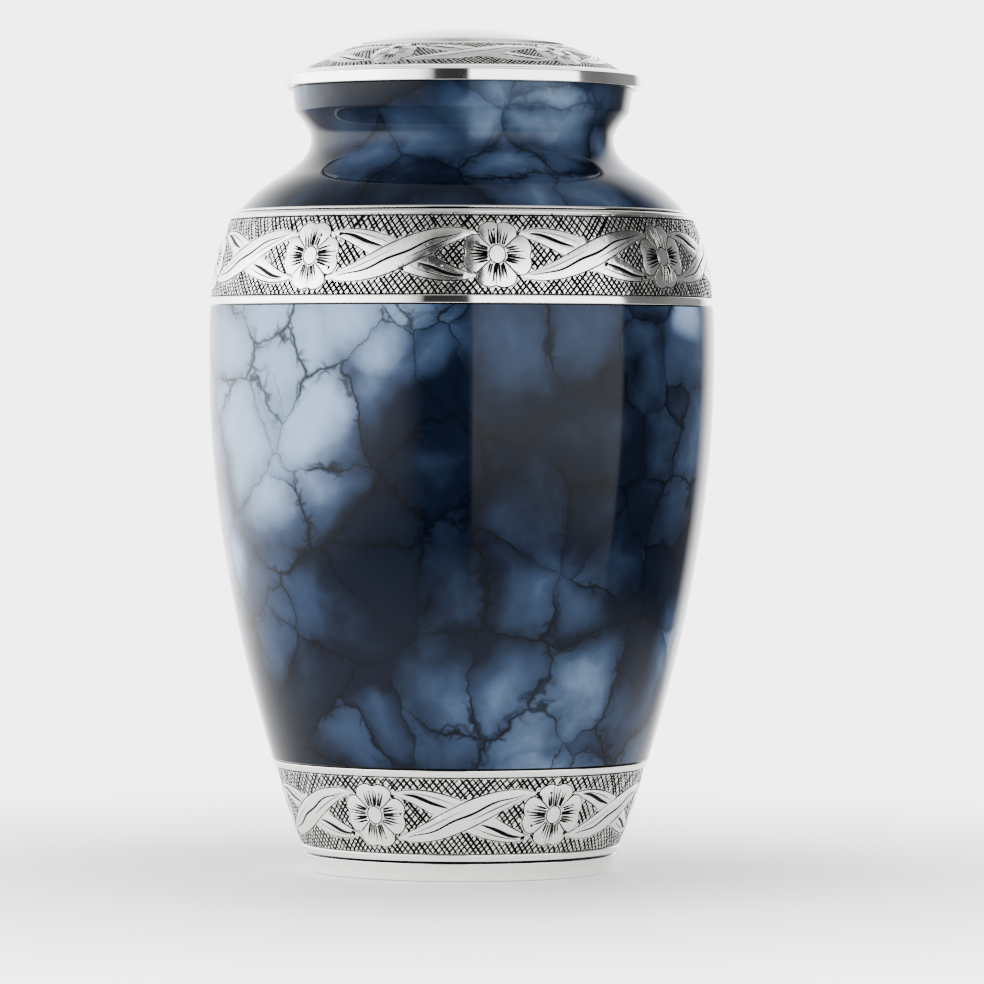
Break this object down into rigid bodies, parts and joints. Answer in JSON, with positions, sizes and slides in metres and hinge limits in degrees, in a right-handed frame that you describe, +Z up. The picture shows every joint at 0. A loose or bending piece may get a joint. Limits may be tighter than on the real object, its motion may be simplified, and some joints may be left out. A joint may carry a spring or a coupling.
{
  "type": "funeral urn",
  "caption": "Vase-shaped metal urn with a narrow foot, rounded shoulders, a waisted neck, engraved flower bands and a domed lid that lifts off.",
  "frame": {"origin": "on the urn's axis, at the level of the foot's underside", "axes": "+Z up along the urn's axis; -Y towards the side that the picture shows, with a flower of the shoulder band near it"},
  "size_m": [0.1524, 0.1524, 0.254],
  "materials": {
    "marbled_enamel": "glossy marbled blue enamel over cast aluminium",
    "engraved_metal": "polished, hand-engraved metal with darkened cuts"
  },
  "bodies": {
    "root": {"urn_body": "marbled_enamel", "lid": "engraved_metal"}
  },
  "joints": []
}
